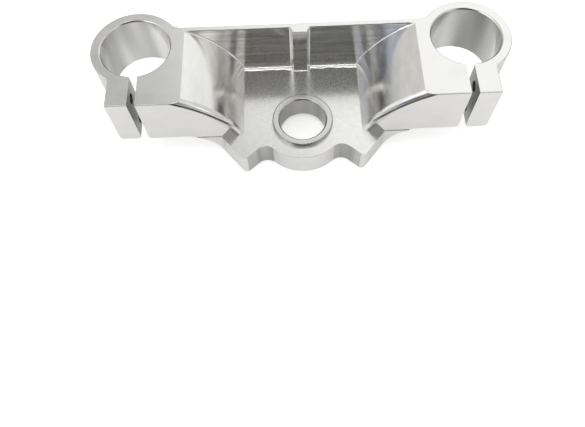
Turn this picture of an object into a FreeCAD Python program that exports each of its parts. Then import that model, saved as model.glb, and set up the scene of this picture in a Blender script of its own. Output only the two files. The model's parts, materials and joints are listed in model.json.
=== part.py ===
import FreeCAD, Part
import math
import os
import Sketcher

# A motorcycle triple clamp, machined and polished from one aluminium forging.
# The origin is on the steering stem's axis, level with the underside of the web.
# X runs from fork to fork, Y points back to the pocket's straight wall, Z is up.

# Driving sizes in millimetres: name, value, meaning.
SIZES = (
    ("overall_height", 54.2, "underside of the web to the flat tops"),
    ("fork_spacing", 204.0, "one fork axis to the other"),
    ("fork_setback", 33.5, "stem axis back to the line of the fork axes"),
    ("fork_bore", 43.0, "diameter of the bores that grip the fork tubes"),
    ("ring_wall", 6.3, "thickness of the ring round a fork bore"),
    ("ring_blend", 10.0, "hollow radius from the ring to the back of the arm"),
    ("underside_height", 18.7, "how far the arms and rings are above the web's underside"),
    ("web_height", 17.5, "thickness of the web, up to the pocket's floor"),
    ("web_half_width", 52.2, "middle to the side of the web"),
    ("cove_radius", 24.0, "hollow under each arm, from the web's side to its underside"),
    ("front_reach", 9.6, "stem axis forward to the machined front face"),
    ("front_ledge", 0.4, "how far the web stands in front of the machined face"),
    ("floor_half_width", 38.0, "middle to the foot of a shoulder"),
    ("top_land", 30.2, "fork axis to the crease where the shoulder begins"),
    ("shoulder_radius", 71.0, "convex curve of the shoulder, from crease to floor"),
    ("shoulder_round", 4.0, "rounded front edge of the shoulder"),
    ("pocket_reach", 45.1, "stem axis back to the wall's inner face"),
    ("wall_thickness", 3.4, "thickness of the straight wall behind the pocket"),
    ("rib_root_width", 12.2, "width of the centre rib at the wall"),
    ("rib_face_width", 9.0, "width of the centre rib's front"),
    ("rib_depth", 3.9, "how far the rib stands out of the wall"),
    ("lug_thickness", 13.4, "pinch lug, from the slot to its outer side"),
    ("lug_notch_round", 2.0, "hollow where the lug's side meets the ring"),
    ("slot_width", 4.8, "gap that the pinch bolts close"),
    ("slot_offset", 0.9, "middle of the slot inboard of the fork axis"),
    ("slot_corner", 1.6, "rounded corners where the slot opens into the bore"),
    ("pinch_setback", 1.0, "stem axis back to the line of the pinch bolts"),
    ("pinch_edge", 7.75, "pinch bolt to the flat top, and to the underside"),
    ("pinch_clearance", 6.6, "plain hole through the lug"),
    ("pinch_tapping", 5.0, "drilled hole for the thread, in the arm"),
    ("pinch_engagement", 20.0, "depth of the drilled hole past the slot"),
    ("lobe_radius", 27.5, "round front of the web, about the stem axis"),
    ("scallop_radius", 8.2, "hollow between the lobe and a steering stop"),
    ("scallop_offset", 24.1, "middle to the scallop's centre"),
    ("stop_offset", 38.0, "middle to the steering stop's point"),
    ("stop_reach", 27.6, "stem axis forward to the steering stop's point"),
    ("stop_round", 2.5, "rounded point of the steering stop"),
    ("stem_bore", 30.0, "diameter of the bore for the steering stem"),
    ("boss_diameter", 39.0, "raised seat round the stem bore"),
    ("boss_height", 2.6, "how far the seat stands out of the floor"),
    ("recess_diameter", 39.0, "shallow recess under the web, round the stem bore"),
    ("recess_depth", 4.0, "depth of that recess"),
    ("pocket_fillet", 1.2, "small hollow round the foot of the wall and the rib"),
    ("edge_round", 0.7, "softened outer edges of the flat tops"),
    ("lower_round", 2.0, "softened lower edges of the lugs"),
    ("bore_chamfer", 0.8, "bevel at the mouths of the fork bores and the stem bore"),
)

doc = FreeCAD.newDocument("TripleClamp")

sheet = doc.addObject("Spreadsheet::Sheet", "Sizes")
for row, (alias, value, meaning) in enumerate(SIZES, start=1):
    sheet.set("A%d" % row, meaning)
    sheet.set("B%d" % row, str(value))
    sheet.setAlias("B%d" % row, alias)
doc.recompute()

# Places that several features share, as formulas of the sheet's cells.
FORK_X = "Sizes.fork_spacing / 2"
FORK_Y = "Sizes.fork_setback"
TOP = "Sizes.overall_height"
UNDERSIDE = "Sizes.underside_height"
FLOOR = "Sizes.web_height"
FRONT = "-Sizes.front_reach"
LEDGE = "-Sizes.front_reach - Sizes.front_ledge"
WALL_FACE = "Sizes.pocket_reach"
BACK = "Sizes.pocket_reach + Sizes.wall_thickness"
CREASE_X = "Sizes.fork_spacing / 2 - Sizes.top_land"
FOOT_X = "Sizes.floor_half_width"
WEB_X = "Sizes.web_half_width"
SLOT_IN = "Sizes.fork_spacing / 2 - Sizes.slot_offset - Sizes.slot_width / 2"
SLOT_OUT = "Sizes.fork_spacing / 2 - Sizes.slot_offset + Sizes.slot_width / 2"
LUG_X = SLOT_OUT + " + Sizes.lug_thickness"
RING = "Sizes.fork_bore / 2 + Sizes.ring_wall"
RIB_FRONT = "Sizes.pocket_reach - Sizes.rib_depth"
BOSS_TOP = "Sizes.web_height + Sizes.boss_height"

# How a constraint counts a sketch's origin and axes, and the ends and centre of a curve.
ORIGIN = (-1, 1)
LEVEL_AXIS = -1
UPRIGHT_AXIS = -2
START, END, CENTRE = 1, 2, 3

# Two places closer than this are the same place.
NEAR = 0.01


def number(formula):
    """The value of a formula of the sheet's cells, in millimetres."""
    return float(sheet.evalExpression(formula))


def plane(body, role):
    """One of the body's own origin planes."""
    return [item for item in body.Origin.OriginFeatures if item.Role == role][0]


def new_sketch(body, name, role, lift=None):
    """A sketch on an origin plane, or parallel to it at the distance that lift gives."""
    sketch = body.newObject("Sketcher::SketchObject", name)
    sketch.AttachmentSupport = [(plane(body, role), "")]
    sketch.MapMode = "FlatFace"
    if lift is not None:
        sketch.setExpression("AttachmentOffset.Base.z", lift)
    return sketch


def drive(sketch, name, formula, kind, *where):
    """Add a constraint whose value follows a formula."""
    index = sketch.addConstraint(Sketcher.Constraint(kind, *where, number(formula)))
    sketch.renameConstraint(index, name)
    sketch.setExpression("Constraints." + name, formula)


def place(sketch, name, point, across, up):
    """Tie a point's two coordinates to formulas, and a zero to the axis itself."""
    for kind, formula, axis in (("DistanceX", across, UPRIGHT_AXIS), ("DistanceY", up, LEVEL_AXIS)):
        if formula is None:
            continue
        label = name + kind[-1]
        if formula == "0":
            sketch.addConstraint(Sketcher.Constraint("PointOnObject", *point, axis))
        elif number(formula) > 0:
            drive(sketch, label, formula, kind, *ORIGIN, *point)
        else:
            drive(sketch, label, "-(%s)" % formula, kind, *point, *ORIGIN)


def line(sketch, first, second):
    """A straight edge between two points given as numbers."""
    ends = [FreeCAD.Vector(x, y, 0) for x, y in (first, second)]
    return sketch.addGeometry(Part.LineSegment(*ends))


def arc(sketch, centre, radius, first, second):
    """An arc about a centre, running anticlockwise from the first point to the second."""
    whole = Part.Circle(FreeCAD.Vector(*centre, 0), FreeCAD.Vector(0, 0, 1), radius)
    angles = [whole.parameter(FreeCAD.Vector(x, y, 0)) for x, y in (first, second)]
    return sketch.addGeometry(Part.ArcOfCircle(whole, *angles))


def circle(sketch, name, across, up, diameter):
    """A full circle with its centre and its diameter tied to formulas."""
    middle = FreeCAD.Vector(number(across), number(up), 0)
    index = sketch.addGeometry(Part.Circle(middle, FreeCAD.Vector(0, 0, 1), number(diameter) / 2))
    place(sketch, name, (index, CENTRE), across, up)
    drive(sketch, name + "Diameter", diameter, "Diameter", index)


def polygon(sketch, corners):
    """A closed outline whose corners are pairs of formulas."""
    points = [(number(across), number(up)) for across, up in corners]
    count = len(points)
    edges = [line(sketch, points[i], points[(i + 1) % count]) for i in range(count)]
    for i, (across, up) in enumerate(corners):
        sketch.addConstraint(Sketcher.Constraint("Coincident", edges[i - 1], END, edges[i], START))
        place(sketch, "corner%d" % i, (edges[i], START), across, up)


def box_outline(sketch, left, right, low, high):
    """A rectangle with each side at a formula."""
    polygon(sketch, [(left, low), (right, low), (right, high), (left, high)])


def join(sketch, *pairs):
    """Make ends of curves meet."""
    for first, second in pairs:
        sketch.addConstraint(Sketcher.Constraint("Coincident", *first, *second))


def smooth(sketch, *pairs):
    """Make ends of curves meet and run on without a corner."""
    for first, second in pairs:
        sketch.addConstraint(Sketcher.Constraint("Tangent", *first, *second))


def pad(body, name, sketch, length, reverse=False):
    """Add material along the sketch's normal, or against it."""
    feature = body.newObject("PartDesign::Pad", name)
    feature.Profile = sketch
    feature.setExpression("Length", length)
    feature.Reversed = reverse
    return settle(feature, adds=True)


def pocket(body, name, sketch, upward=False, depth=None):
    """Cut the sketch against its normal or along it, right through or to a depth."""
    feature = body.newObject("PartDesign::Pocket", name)
    feature.Profile = sketch
    feature.Reversed = upward
    if depth is None:
        feature.Type = "ThroughAll"
    else:
        feature.setExpression("Length", depth)
    return settle(feature, adds=False)


def settle(feature, adds=None):
    """Recompute, and make sure that the feature worked and changed the volume the right way."""
    doc.recompute()
    if "Invalid" in feature.State or "Error" in feature.State or feature.Shape.isNull():
        raise RuntimeError("%s failed" % feature.Name)
    before = feature.BaseFeature.Shape.Volume if feature.BaseFeature else 0.0
    change = feature.Shape.Volume - before
    if abs(change) < NEAR or (adds is not None and (change > 0) != adds):
        raise RuntimeError("%s changed the volume by %.3f" % (feature.Name, change))
    return feature


def points_of(edge):
    """The two ends of an edge and its middle."""
    middle = edge.valueAt((edge.FirstParameter + edge.LastParameter) / 2)
    return [edge.Vertexes[0].Point, middle, edge.Vertexes[-1].Point]


def lies_at(edge, axis, formula):
    """True where an edge keeps to one level, such as z at the flat tops."""
    return all(abs(getattr(point, axis) - number(formula)) < NEAR for point in points_of(edge))


def has_radius(edge, formula):
    """True where an edge is part of a circle of that radius."""
    try:
        return abs(edge.Curve.Radius - number(formula)) < NEAR
    except (AttributeError, TypeError):
        return False


def edges_where(feature, wanted):
    """The names of the edges of a feature's shape that a test picks."""
    chosen = [i for i, edge in enumerate(feature.Shape.Edges, start=1) if wanted(edge)]
    if not chosen:
        raise RuntimeError("no edge found on %s" % feature.Name)
    return ["Edge%d" % i for i in chosen]


def is_upright(edge):
    """True where an edge runs straight up."""
    first, last = edge.Vertexes[0].Point, edge.Vertexes[-1].Point
    return abs(first.x - last.x) < NEAR and abs(first.y - last.y) < NEAR < abs(first.z - last.z)


def round_edges(body, name, base, wanted, radius):
    """Round the edges that the test picks."""
    feature = body.newObject("PartDesign::Fillet", name)
    feature.Base = (base, edges_where(base, wanted))
    feature.setExpression("Radius", radius)
    return settle(feature)


def bevel_edges(body, name, base, wanted, size):
    """Bevel the edges that the test picks."""
    feature = body.newObject("PartDesign::Chamfer", name)
    feature.Base = (base, edges_where(base, wanted))
    feature.setExpression("Size", size)
    return settle(feature)


# The one piece. Its right half is built first and then mirrored.
body = doc.addObject("PartDesign::Body", "TripleClamp")
body.Label = "triple_clamp"


def web_outline():
    """Half of the web seen from above: round lobe, scallop, pointed steering stop, side, back."""
    sketch = new_sketch(body, "WebOutline", "XY_Plane")
    lobe = number("Sizes.lobe_radius")
    scallop = number("Sizes.scallop_radius")
    scallop_x = number("Sizes.scallop_offset")
    scallop_y = -((lobe + scallop) ** 2 - scallop_x ** 2) ** 0.5
    share = lobe / (lobe + scallop)
    meeting = (scallop_x * share, scallop_y * share)
    point = (number("Sizes.stop_offset"), -number("Sizes.stop_reach"))
    across, down = point[0] - scallop_x, point[1] - scallop_y
    touch = math.atan2(down, across) + math.acos(scallop / math.hypot(across, down))
    flank = (scallop_x + scallop * math.cos(touch), scallop_y + scallop * math.sin(touch))
    root = (number(WEB_X), number(LEDGE))
    corner = (number(WEB_X), number(BACK))

    front = arc(sketch, (0, 0), lobe, (0, -lobe), meeting)
    hollow = arc(sketch, (scallop_x, scallop_y), scallop, flank, meeting)
    inner = line(sketch, flank, point)
    outer = line(sketch, point, root)
    side = line(sketch, root, corner)
    back = line(sketch, corner, (0, corner[1]))
    middle = line(sketch, (0, corner[1]), (0, -lobe))

    join(sketch, ((front, CENTRE), ORIGIN), ((front, START), (middle, END)))
    smooth(sketch, ((front, END), (hollow, END)), ((hollow, START), (inner, START)))
    join(sketch, ((inner, END), (outer, START)), ((outer, END), (side, START)))
    join(sketch, ((side, END), (back, START)), ((back, END), (middle, START)))
    drive(sketch, "lobe", "Sizes.lobe_radius", "Radius", front)
    drive(sketch, "scallop", "Sizes.scallop_radius", "Radius", hollow)
    place(sketch, "scallop", (hollow, CENTRE), "Sizes.scallop_offset", None)
    place(sketch, "point", (inner, END), "Sizes.stop_offset", "-Sizes.stop_reach")
    place(sketch, "root", (side, START), WEB_X, LEDGE)
    place(sketch, "corner", (side, END), WEB_X, BACK)
    place(sketch, "back", (middle, START), "0", BACK)
    place(sketch, "front", (middle, END), "0", None)
    return sketch


def arm_outline():
    """An arm seen from the front: shoulder curve above, cove below, up to the fork axis."""
    sketch = new_sketch(body, "ArmOutline", "XZ_Plane", "-(%s)" % LEDGE)
    crease = (number(CREASE_X), number(TOP))
    foot = (number(FOOT_X), number(FLOOR))
    radius = number("Sizes.shoulder_radius")
    chord = FreeCAD.Vector(crease[0] - foot[0], crease[1] - foot[1], 0)
    drop = (radius ** 2 - (chord.Length / 2) ** 2) ** 0.5
    centre_x = (crease[0] + foot[0]) / 2 + drop * chord.y / chord.Length
    centre_z = (crease[1] + foot[1]) / 2 - drop * chord.x / chord.Length
    low = (centre_x - (radius ** 2 - centre_z ** 2) ** 0.5, 0)
    slope = (centre_x - crease[0]) / (crease[1] - centre_z)
    outer_x = number(FORK_X)
    peak = (outer_x, crease[1] + slope * (outer_x - crease[0]))
    under = number(UNDERSIDE)
    cove = number("Sizes.cove_radius")
    web_x = number(WEB_X)
    cove_x = web_x + (cove ** 2 - (cove - under) ** 2) ** 0.5

    shoulder = arc(sketch, (centre_x, centre_z), radius, crease, low)
    rise = line(sketch, crease, peak)
    end = line(sketch, peak, (outer_x, under))
    flat = line(sketch, (outer_x, under), (cove_x, under))
    hollow = arc(sketch, (cove_x, under - cove), cove, (cove_x, under), (web_x, 0))
    base = line(sketch, (web_x, 0), low)
    mark = sketch.addGeometry(Part.Point(FreeCAD.Vector(*foot, 0)), True)

    smooth(sketch, ((rise, START), (shoulder, START)), ((flat, END), (hollow, START)))
    join(sketch, ((rise, END), (end, START)), ((end, END), (flat, START)))
    join(sketch, ((hollow, END), (base, START)), ((base, END), (shoulder, END)))
    sketch.addConstraint(Sketcher.Constraint("PointOnObject", mark, START, shoulder))
    sketch.addConstraint(Sketcher.Constraint("Horizontal", flat))
    drive(sketch, "shoulder", "Sizes.shoulder_radius", "Radius", shoulder)
    drive(sketch, "cove", "Sizes.cove_radius", "Radius", hollow)
    place(sketch, "foot", (mark, START), FOOT_X, FLOOR)
    place(sketch, "crease", (rise, START), CREASE_X, TOP)
    place(sketch, "peak", (rise, END), FORK_X, None)
    place(sketch, "end", (end, END), FORK_X, UNDERSIDE)
    place(sketch, "side", (base, START), WEB_X, "0")
    place(sketch, "low", (base, END), None, "0")
    return sketch


def clamp_outline():
    """A fork ring and its pinch lug seen from above, outside what the arm already fills."""
    sketch = new_sketch(body, "ClampOutline", "XY_Plane", UNDERSIDE)
    x, y, radius = number(FORK_X), number(FORK_Y), number(RING)
    front, back, lug = number(FRONT), number(BACK), number(LUG_X)
    blend = number("Sizes.ring_blend")
    notch = (lug, y - (radius ** 2 - (lug - x) ** 2) ** 0.5)
    blend_y = back + blend
    blend_x = x - ((radius + blend) ** 2 - (blend_y - y) ** 2) ** 0.5
    share = radius / (radius + blend)
    meeting = (x + (blend_x - x) * share, y + (blend_y - y) * share)

    face = line(sketch, (x, front), (lug, front))
    side = line(sketch, (lug, front), notch)
    ring = arc(sketch, (x, y), radius, notch, meeting)
    hollow = arc(sketch, (blend_x, blend_y), blend, (blend_x, back), meeting)
    across = line(sketch, (blend_x, back), (x, back))
    middle = line(sketch, (x, back), (x, front))

    join(sketch, ((face, END), (side, START)), ((side, END), (ring, START)))
    smooth(sketch, ((ring, END), (hollow, END)), ((hollow, START), (across, START)))
    join(sketch, ((across, END), (middle, START)), ((middle, END), (face, START)))
    sketch.addConstraint(Sketcher.Constraint("Horizontal", across))
    sketch.addConstraint(Sketcher.Constraint("Vertical", side))
    place(sketch, "ring", (ring, CENTRE), FORK_X, FORK_Y)
    drive(sketch, "ring", RING, "Radius", ring)
    drive(sketch, "blend", "Sizes.ring_blend", "Radius", hollow)
    place(sketch, "inner", (face, START), FORK_X, FRONT)
    place(sketch, "lug", (face, END), LUG_X, FRONT)
    place(sketch, "back", (across, END), FORK_X, BACK)
    return sketch


def mouth_outline():
    """The slot's lower mouth seen from the front, with both sides rounded outwards."""
    sketch = new_sketch(body, "MouthOutline", "XZ_Plane", "Sizes.stop_reach")
    left, right = number(SLOT_IN), number(SLOT_OUT)
    low = number(UNDERSIDE)
    radius = number("Sizes.lower_round")
    bend = low + radius

    inner = arc(sketch, (left - radius, bend), radius, (left - radius, low), (left, bend))
    mouth = line(sketch, (left - radius, low), (right + radius, low))
    outer = arc(sketch, (right + radius, bend), radius, (right, bend), (right + radius, low))
    lid = line(sketch, (right, bend), (left, bend))

    smooth(sketch, ((inner, START), (mouth, START)), ((mouth, END), (outer, END)))
    join(sketch, ((outer, START), (lid, START)), ((lid, END), (inner, END)))
    sketch.addConstraint(Sketcher.Constraint("Horizontal", mouth))
    sketch.addConstraint(Sketcher.Constraint("Horizontal", lid))
    for name, corner in (("inner", inner), ("outer", outer)):
        drive(sketch, name, "Sizes.lower_round", "Radius", corner)
    place(sketch, "mouth", (mouth, START), None, UNDERSIDE)
    place(sketch, "left", (lid, END), SLOT_IN, UNDERSIDE + " + Sizes.lower_round")
    place(sketch, "right", (lid, START), SLOT_OUT, None)
    return sketch


# The web first, then one arm standing in it, whose front is machined back above the floor.
pad(body, "Web", web_outline(), FLOOR)
pad(body, "Arm", arm_outline(), "%s - (%s)" % (BACK, LEDGE), reverse=True)

front_cut = new_sketch(body, "FrontCut", "XY_Plane", FLOOR)
box_outline(front_cut, "0", LUG_X, "-Sizes.stop_reach", FRONT)
front_face = pocket(body, "FrontFace", front_cut, upward=True)


def on_shoulder_front(edge):
    """The slanting and curved upper edges of the machined front face, not the cove's below."""
    first, middle, last = points_of(edge)
    above_floor = min(first.z, last.z) > number(FLOOR) - NEAR
    above_cove = max(first.z, last.z) > number(UNDERSIDE) + NEAR
    slanting = abs(first.x - last.x) > NEAR and abs(first.z - last.z) > NEAR
    return lies_at(edge, "y", FRONT) and above_floor and above_cove and slanting


round_edges(body, "ShoulderRound", front_face, on_shoulder_front, "Sizes.shoulder_round")

# The tops are milled flat after that, so the rounding runs out on them in a wedge.
top_cut = new_sketch(body, "TopCut", "XY_Plane", TOP)
box_outline(top_cut, "0", LUG_X, "-Sizes.stop_reach", BACK + " + Sizes.ring_blend")
pocket(body, "FlatTop", top_cut, upward=True)

# The straight wall behind the pocket, whose slanting end is buried in the arm, and half of its rib.
wall_sketch = new_sketch(body, "WallOutline", "XZ_Plane", "-(%s)" % WALL_FACE)
polygon(wall_sketch, [("0", FLOOR), (WEB_X, FLOOR), (FORK_X, TOP), ("0", TOP)])
pad(body, "Wall", wall_sketch, "Sizes.wall_thickness", reverse=True)

rib_sketch = new_sketch(body, "RibOutline", "XY_Plane", FLOOR)
polygon(rib_sketch, [
    ("0", RIB_FRONT),
    ("Sizes.rib_face_width / 2", RIB_FRONT),
    ("Sizes.rib_root_width / 2", WALL_FACE),
    ("0", WALL_FACE),
])
pad(body, "Rib", rib_sketch, "%s - %s" % (TOP, FLOOR))

# The ring with its lug, whose lower corner and notch are softened while they are still plain.
clamp = pad(body, "Clamp", clamp_outline(), "%s - %s" % (TOP, UNDERSIDE))


def at_lug_corner(edge):
    """The lower edge of the lug's outer side, from front to back."""
    return lies_at(edge, "z", UNDERSIDE) and lies_at(edge, "x", LUG_X)


def at_lug_notch(edge):
    """The upright edge in the corner between the lug's side and the ring."""
    return is_upright(edge) and lies_at(edge, "x", LUG_X) and edge.Vertexes[0].Y > NEAR


lug_corner = round_edges(body, "LugCorner", clamp, at_lug_corner, "Sizes.lower_round")
round_edges(body, "LugNotch", lug_corner, at_lug_notch, "Sizes.lug_notch_round")

# The fork bore, bevelled at both ends, and the slot that opens it to the front.
bore_sketch = new_sketch(body, "ForkBoreOutline", "XY_Plane")
circle(bore_sketch, "bore", FORK_X, FORK_Y, "Sizes.fork_bore")
fork_bore = pocket(body, "ForkBore", bore_sketch, upward=True)


def at_fork_mouth(edge):
    """Both ends of the fork bore."""
    ends = lies_at(edge, "z", TOP) or lies_at(edge, "z", UNDERSIDE)
    return ends and has_radius(edge, "Sizes.fork_bore / 2")


bevel_edges(body, "ForkChamfer", fork_bore, at_fork_mouth, "Sizes.bore_chamfer")

slot_sketch = new_sketch(body, "SlotOutline", "XY_Plane")
box_outline(slot_sketch, SLOT_IN, SLOT_OUT, "-Sizes.stop_reach", FORK_Y)
slot = pocket(body, "PinchSlot", slot_sketch, upward=True)


def at_slot_corner(edge):
    """The two upright edges where the slot opens into the fork bore."""
    beside = lies_at(edge, "x", SLOT_IN) or lies_at(edge, "x", SLOT_OUT)
    return is_upright(edge) and beside and edge.Vertexes[0].Y > number(FRONT) + NEAR


round_edges(body, "SlotCorners", slot, at_slot_corner, "Sizes.slot_corner")
pocket(body, "SlotMouth", mouth_outline(), depth="Sizes.stop_reach + Sizes.fork_setback")

# Two pinch bolts: drilled right into the arm for the thread, then opened up in the lug.
bolts = new_sketch(body, "PinchBolts", "YZ_Plane", LUG_X)
for name, height in (("lower", UNDERSIDE + " + Sizes.pinch_edge"), ("upper", TOP + " - Sizes.pinch_edge")):
    circle(bolts, name, "Sizes.pinch_setback", height, "Sizes.pinch_tapping")


def bolt_holes(name, diameter, depth, point):
    """Drill the two pinch holes from the lug's outer side."""
    feature = body.newObject("PartDesign::Hole", name)
    feature.Profile = bolts
    doc.recompute()
    feature.DepthType = "Dimension"
    feature.DrillPoint = point
    feature.setExpression("Diameter", diameter)
    feature.setExpression("Depth", depth)
    return settle(feature, adds=False)


past_slot = "Sizes.lug_thickness + Sizes.slot_width + Sizes.pinch_engagement"
to_slot = "Sizes.lug_thickness + Sizes.slot_width / 2"
bolt_holes("PinchTapping", "Sizes.pinch_tapping", past_slot, "Angled")
bolt_holes("PinchClearance", "Sizes.pinch_clearance", to_slot, "Flat")

# The other half is the mirror image of this one.
both = body.newObject("PartDesign::Mirrored", "BothHalves")
both.TransformMode = "Whole shape"
both.MirrorPlane = (plane(body, "YZ_Plane"), [""])
body.Tip = both
doc.recompute()

# The raised seat round the steering stem's bore, and the recess under the web.
boss_sketch = new_sketch(body, "BossOutline", "XY_Plane", FLOOR)
circle(boss_sketch, "boss", "0", "0", "Sizes.boss_diameter")
pad(body, "StemBoss", boss_sketch, "Sizes.boss_height")

stem_sketch = new_sketch(body, "StemBoreOutline", "XY_Plane")
circle(stem_sketch, "stem", "0", "0", "Sizes.stem_bore")
pocket(body, "StemBore", stem_sketch, upward=True)

recess_sketch = new_sketch(body, "RecessOutline", "XY_Plane")
circle(recess_sketch, "recess", "0", "0", "Sizes.recess_diameter")
recess = pocket(body, "StemRecess", recess_sketch, upward=True, depth="Sizes.recess_depth")


def at_stop_point(edge):
    """The upright edge at the point of each steering stop."""
    return is_upright(edge) and lies_at(edge, "y", "-Sizes.stop_reach")


def in_pocket_corner(edge):
    """The hollow corners of the pocket: along the wall's face, and round the rib's foot."""
    points = points_of(edge)
    if min(point.z for point in points) < number(FLOOR) - NEAR or lies_at(edge, "z", TOP):
        return False
    if max(abs(point.x) for point in points) > number(CREASE_X) + NEAR:
        return False
    by_rib = max(abs(point.x) for point in points) < number("Sizes.rib_root_width / 2") + NEAR
    behind = min(point.y for point in points) > number(RIB_FRONT) - NEAR
    return lies_at(edge, "y", WALL_FACE) or (lies_at(edge, "z", FLOOR) and by_rib and behind)


def at_stem_mouth(edge):
    """The top of the stem bore."""
    return has_radius(edge, "Sizes.stem_bore / 2") and lies_at(edge, "z", BOSS_TOP)


def at_boss_rim(edge):
    """The outer rim of the raised seat."""
    return has_radius(edge, "Sizes.boss_diameter / 2") and lies_at(edge, "z", BOSS_TOP)


def round_the_top(edge):
    """The outer edges of the flat tops: front faces, lugs, rings and the long back edge."""
    if not lies_at(edge, "z", TOP):
        return False
    points = points_of(edge)
    behind = min(point.y for point in points) > number(BACK) - NEAR
    outside = min(abs(point.x) for point in points) > number(LUG_X) - NEAR
    curved = has_radius(edge, RING) or has_radius(edge, "Sizes.lug_notch_round")
    return lies_at(edge, "y", FRONT) or behind or outside or curved


# Softened corners and bevelled mouths.
stops = round_edges(body, "StopRound", recess, at_stop_point, "Sizes.stop_round")
corners = round_edges(body, "PocketFillet", stops, in_pocket_corner, "Sizes.pocket_fillet")
bevelled = bevel_edges(body, "StemChamfer", corners, at_stem_mouth, "Sizes.bore_chamfer")
rim = round_edges(body, "BossRound", bevelled, at_boss_rim, "Sizes.edge_round")
tops = round_edges(body, "TopRound", rim, round_the_top, "Sizes.edge_round")
body.Tip = tops
doc.recompute()

# Nothing is written unless every feature and the finished piece are sound.
for item in doc.Objects:
    if "Invalid" in item.State or "Error" in item.State:
        raise RuntimeError("%s failed" % item.Name)
if body.Shape.isNull() or not body.Shape.isValid() or len(body.Shape.Solids) != 1:
    raise RuntimeError("the triple clamp is not one sound solid")

print("faces", len(body.Shape.Faces), "volume in cubic centimetres", round(body.Shape.Volume / 1000, 1))
os.makedirs("parts", exist_ok=True)
body.Shape.exportStep("parts/%s.step" % body.Label)
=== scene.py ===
# %% [markdown]
# # A polished motorcycle triple clamp
#
# The clamp is one aluminium forging. Two slotted rings grip the fork tubes, a pocketed bridge
# carries the bore of the steering stem, and two pointed stops stand on the front of the web.
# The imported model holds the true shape, so this lesson is about surfaces: how one piece of bare
# metal gets a mirror finish in its pocket, a satin one where it was milled, and turned bores.

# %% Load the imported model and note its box
import bmesh
import bpy
import json
import math
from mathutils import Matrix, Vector


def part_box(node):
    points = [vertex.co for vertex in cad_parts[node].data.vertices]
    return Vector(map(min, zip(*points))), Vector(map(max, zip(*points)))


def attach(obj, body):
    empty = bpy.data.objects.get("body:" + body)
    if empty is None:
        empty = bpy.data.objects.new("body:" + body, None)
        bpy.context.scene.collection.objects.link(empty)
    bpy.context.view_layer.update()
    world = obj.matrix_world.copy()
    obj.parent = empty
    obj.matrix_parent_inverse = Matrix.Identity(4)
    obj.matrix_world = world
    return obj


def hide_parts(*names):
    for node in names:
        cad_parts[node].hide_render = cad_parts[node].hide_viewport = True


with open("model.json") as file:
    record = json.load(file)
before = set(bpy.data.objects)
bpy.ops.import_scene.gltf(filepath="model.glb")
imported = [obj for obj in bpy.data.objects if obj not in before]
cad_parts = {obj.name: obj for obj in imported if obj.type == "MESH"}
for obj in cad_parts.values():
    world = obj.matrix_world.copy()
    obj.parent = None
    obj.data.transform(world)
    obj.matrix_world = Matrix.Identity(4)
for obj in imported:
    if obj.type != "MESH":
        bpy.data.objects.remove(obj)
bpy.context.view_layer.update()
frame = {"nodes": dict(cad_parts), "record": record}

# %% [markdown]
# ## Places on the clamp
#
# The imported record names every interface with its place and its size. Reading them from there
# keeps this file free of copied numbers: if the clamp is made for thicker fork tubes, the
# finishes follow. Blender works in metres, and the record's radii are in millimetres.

MM = 0.001
NODE = "triple_clamp"
mounts = {mount["name"]: mount for mount in frame["record"]["mounts"]}
fork = mounts["fork_bore_right"]
FORK_X, FORK_Y = fork["pos_m"][0], fork["pos_m"][1]
FORK_RADIUS = fork["dims"]["r_mm"] * MM
STEM_RADIUS = mounts["stem_bore"]["dims"]["r_mm"] * MM
SEAT_RADIUS = mounts["stem_recess"]["dims"]["r_mm"] * MM
low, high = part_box(NODE)
TOP = high.z
print("fork axes at x", FORK_X, "y", FORK_Y, "radius", FORK_RADIUS, "flat tops at z", round(TOP, 4))

# %% [markdown]
# ## One welded skin
#
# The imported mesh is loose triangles, each shaded flat, which a mirror finish would show as
# facets. The finished piece starts as a copy whose corners are welded. It could be shaded
# smooth all over, but then light would smear round the true corners, so edges sharper than a
# small angle stay sharp. No real corner is as sharp as a knife either. Each is broken by a
# quarter of a millimetre, and that tiny bevel is what draws a bright line along the edges. The
# Bevel modifier could cut it, but it throws spikes where corners crowd together, so bmesh cuts
# it, and only on edges with room beside them.

# %% Choose the edges that get a tiny bevel
SHARP_ANGLE = math.radians(24)
EDGE_WIDTH = 0.25 * MM
EDGE_STEPS = 4
CLEAR_RUN = 3 * EDGE_WIDTH


def can_be_broken(edge):
    """True for a true corner of the metal with room beside it for a tiny bevel."""
    if len(edge.link_faces) != 2 or edge.calc_face_angle() < SHARP_ANGLE:
        return False
    beside = [other for corner in edge.verts for other in corner.link_edges]
    return min(other.calc_length() for other in beside) > CLEAR_RUN


# %% Weld a copy of the mesh and break its edges
WELD = 0.002 * MM
FLAT_ANGLE = math.radians(0.2)
ROUND_PROFILE = 0.5


def broken_skin(mesh):
    """Weld the mesh's loose triangles and cut the tiny bevels."""
    skin = bmesh.new()
    skin.from_mesh(mesh)
    bmesh.ops.remove_doubles(skin, verts=skin.verts, dist=WELD)
    bmesh.ops.dissolve_degenerate(skin, edges=skin.edges, dist=WELD)
    bmesh.ops.dissolve_limit(skin, angle_limit=FLAT_ANGLE, verts=skin.verts, edges=skin.edges)
    corners = [edge for edge in skin.edges if can_be_broken(edge)]
    print("corners broken:", len(corners))
    bmesh.ops.bevel(skin, geom=corners, offset=EDGE_WIDTH, segments=EDGE_STEPS, profile=ROUND_PROFILE,
                    affect="EDGES", loop_slide=True, clamp_overlap=False)
    bmesh.ops.remove_doubles(skin, verts=skin.verts, dist=WELD)
    skin.to_mesh(mesh)
    skin.free()


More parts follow.
